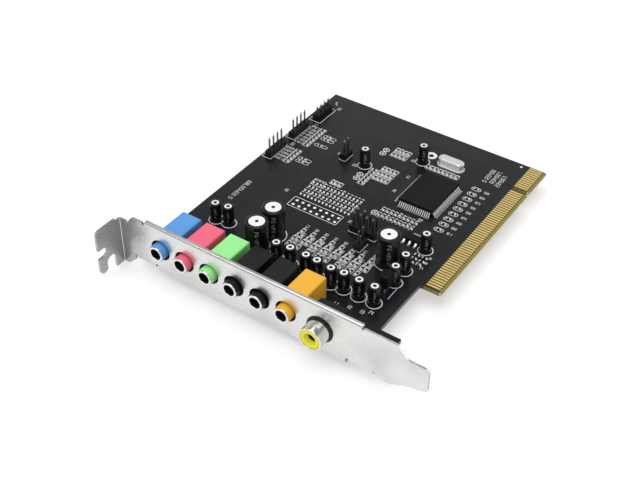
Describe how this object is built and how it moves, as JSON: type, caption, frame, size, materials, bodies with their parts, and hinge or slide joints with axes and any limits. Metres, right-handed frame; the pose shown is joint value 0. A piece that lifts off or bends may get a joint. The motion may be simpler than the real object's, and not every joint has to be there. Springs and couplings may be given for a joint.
{
  "type": "pci sound card",
  "caption": "Flat computer sound card: black circuit board with gold edge contacts and a folded steel bracket carrying colour-coded audio jacks and a phono socket.",
  "frame": {"origin": "inner end of contact 1 on the component face of the edge connector", "axes": "+X into the slot, +Y along the connector away from the bracket, +Z out of the component face"},
  "size_m": [0.12, 0.1311, 0.0217],
  "materials": {
    "board": "glossy black solder mask on laminate",
    "gold": "gold plate",
    "steel": "satin zinc plate",
    "nickel": "nickel plate",
    "tin": "bright tin",
    "chip_plastic": "matt moulding compound",
    "capacitor_sleeve": "shrunk sleeve",
    "yellow_plastic": "moulded",
    "blue_plastic": "moulded",
    "pink_plastic": "moulded",
    "green_plastic": "moulded",
    "black_plastic": "moulded",
    "orange_plastic": "moulded"
  },
  "bodies": {
    "root": {"audio_chip": "chip_plastic", "audio_chip_leads": "tin", "bracket": "steel", "bracket_screws": "steel", "center_out_jack_housing": "orange_plastic", "circuit_board": "board", "coupling_capacitor_01": "capacitor_sleeve", "coupling_capacitor_02": "capacitor_sleeve", "coupling_capacitor_03": "capacitor_sleeve", "coupling_capacitor_04": "capacitor_sleeve", "coupling_capacitor_05": "capacitor_sleeve", "coupling_capacitor_06": "capacitor_sleeve", "coupling_capacitor_07": "capacitor_sleeve", "coupling_capacitor_08": "capacitor_sleeve", "coupling_capacitor_09": "capacitor_sleeve", "coupling_capacitor_10": "capacitor_sleeve", "coupling_capacitor_11": "capacitor_sleeve", "coupling_capacitor_12": "capacitor_sleeve", "coupling_capacitor_13": "capacitor_sleeve", "coupling_capacitor_14": "capacitor_sleeve", "coupling_capacitor_15": "capacitor_sleeve", "crystal_base": "tin", "crystal_can": "tin", "edge_contacts_bottom": "gold", "edge_contacts_top": "gold", "filter_capacitor_1": "capacitor_sleeve", "filter_capacitor_2": "capacitor_sleeve", "filter_capacitor_3": "capacitor_sleeve", "front_audio_header_base": "black_plastic", "front_out_jack_housing": "green_plastic", "header_pins": "tin", "jumper_base_1": "black_plastic", "jumper_base_2": "black_plastic", "line_in_jack_housing": "blue_plastic", "mic_in_jack_housing": "pink_plastic", "phono_housing": "black_plastic", "phono_insert": "yellow_plastic", "phono_shell": "nickel", "rear_out_jack_housing": "black_plastic", "regulator_body": "chip_plastic", "regulator_leads": "tin", "side_header_base_1": "black_plastic", "side_header_base_2": "black_plastic", "side_header_base_3": "black_plastic", "side_out_jack_housing": "black_plastic", "transistor_body": "chip_plastic", "transistor_leads": "tin"}
  },
  "joints": []
}
